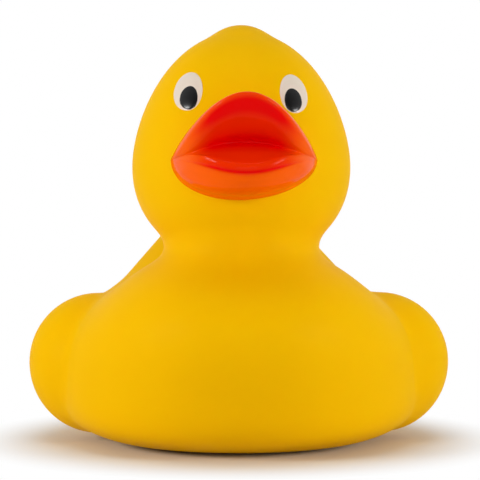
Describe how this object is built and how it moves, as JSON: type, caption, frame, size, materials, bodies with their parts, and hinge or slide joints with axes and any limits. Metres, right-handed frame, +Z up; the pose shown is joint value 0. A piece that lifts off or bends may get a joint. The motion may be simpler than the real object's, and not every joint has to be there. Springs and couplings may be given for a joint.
{
  "type": "rubber duck",
  "caption": "Hollow soft vinyl toy duck with an open bill, raised tail and flat base, and a squeaker pressed into the base.",
  "frame": {"origin": "middle of the duck's bounding box, on the floor plane of its flat base", "axes": "+Z up, the duck looks along -Y, +X is on the duck's left as it looks forward"},
  "size_m": [0.0742, 0.0822, 0.0734],
  "materials": {
    "yellow_vinyl": "soft moulded vinyl, satin, pigmented yellow",
    "white_plastic": "moulded polyethylene, natural white",
    "reed_film": "thin polyester film"
  },
  "bodies": {
    "root": {"duck_body": "yellow_vinyl", "squeaker_housing": "white_plastic", "reed_holder": "white_plastic", "squeaker_reed": "reed_film", "reed_clamp": "white_plastic"}
  },
  "joints": []
}
